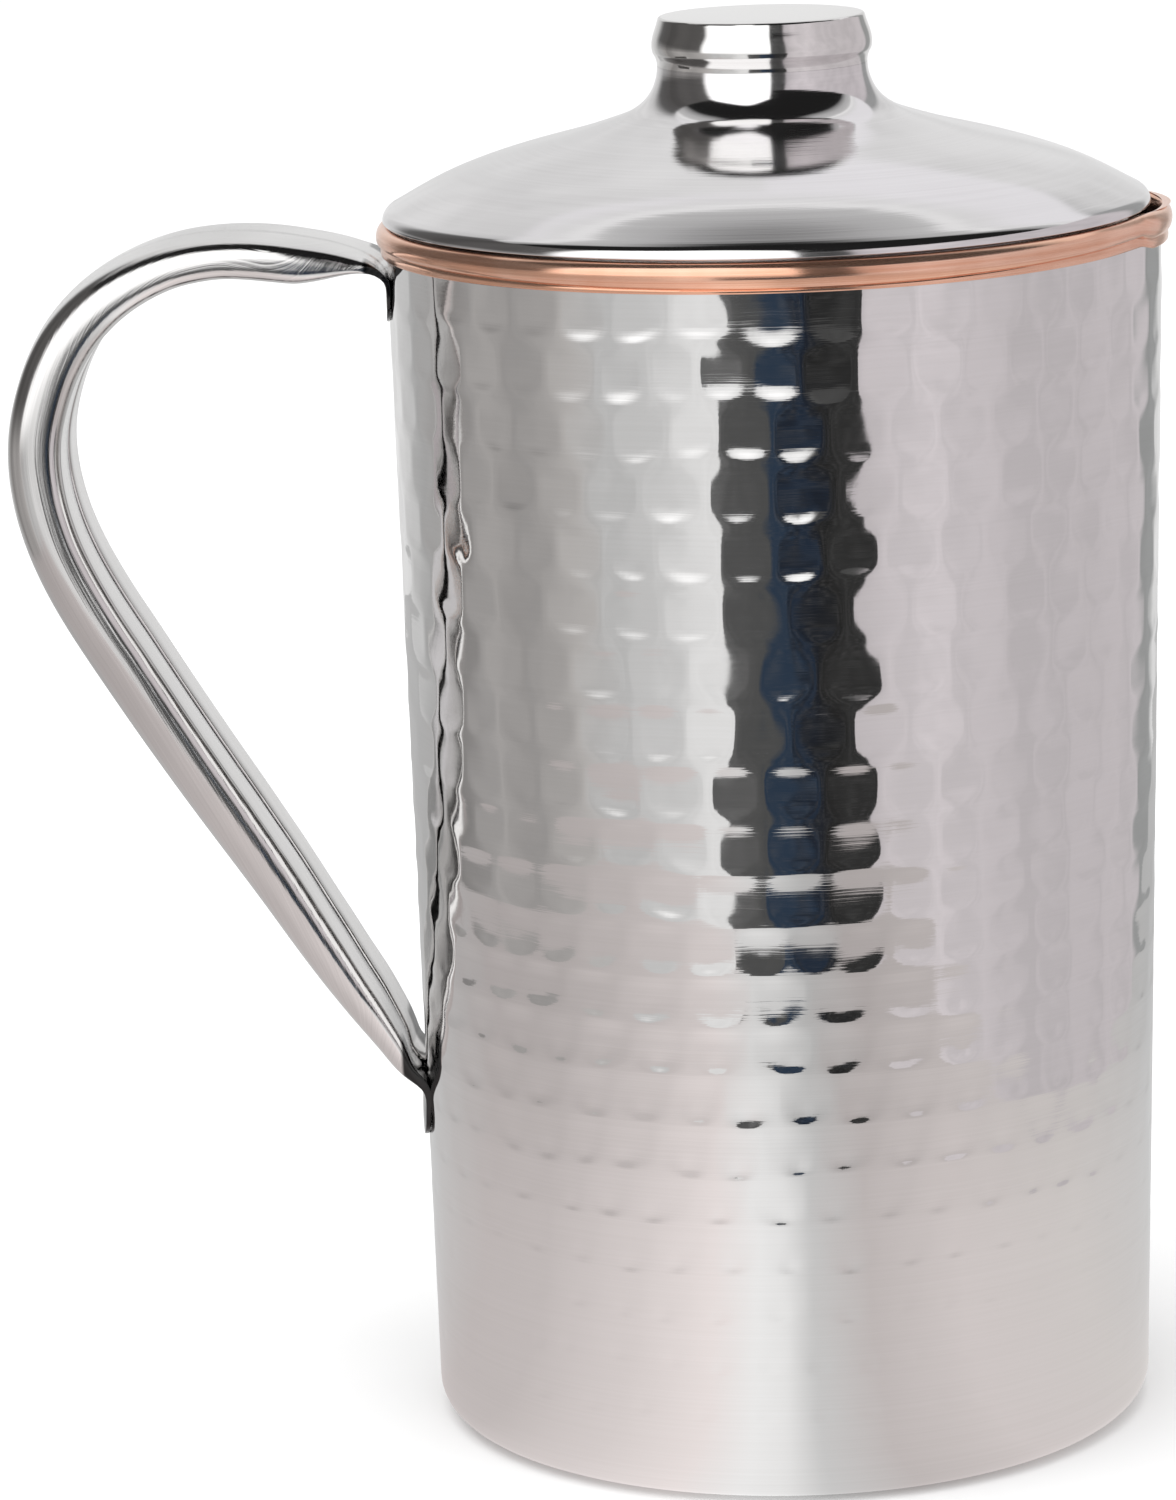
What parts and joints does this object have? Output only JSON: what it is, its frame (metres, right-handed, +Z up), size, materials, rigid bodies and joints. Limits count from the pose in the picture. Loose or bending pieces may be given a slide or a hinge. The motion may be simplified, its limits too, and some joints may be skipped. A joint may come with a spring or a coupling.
{
  "type": "water jug",
  "caption": "Cylindrical double-walled water jug: hammered steel outside, copper inside with a rolled rim and pouring lip, loop handle, and a lift-off domed lid with a knob.",
  "frame": {"origin": "centre of the flat base, on the body's axis, at table level", "axes": "+Z up, +X towards the pouring lip, -X towards the handle"},
  "size_m": [0.1694, 0.1128, 0.2064],
  "materials": {
    "hammered_steel": "mirror-polished stainless steel with hammered dimples",
    "copper": null,
    "handle_steel": "polished stainless strip",
    "lid_steel": "polished stainless steel with fine spinning lines",
    "knob_steel": "mirror-polished stainless steel",
    "inner_steel": "satin stainless steel"
  },
  "bodies": {
    "jug": {"steel_jacket": "hammered_steel", "copper_liner": "copper", "handle": "handle_steel"},
    "lid": {"lid_dome": "lid_steel", "lid_knob": "knob_steel", "lid_locating_ring": "inner_steel"}
  },
  "joints": [
    {"name": "lid_lift", "type": "slide", "parent": "jug", "child": "lid", "axis": [0, 0, 1], "range_m": [0, 0.12]}
  ]
}
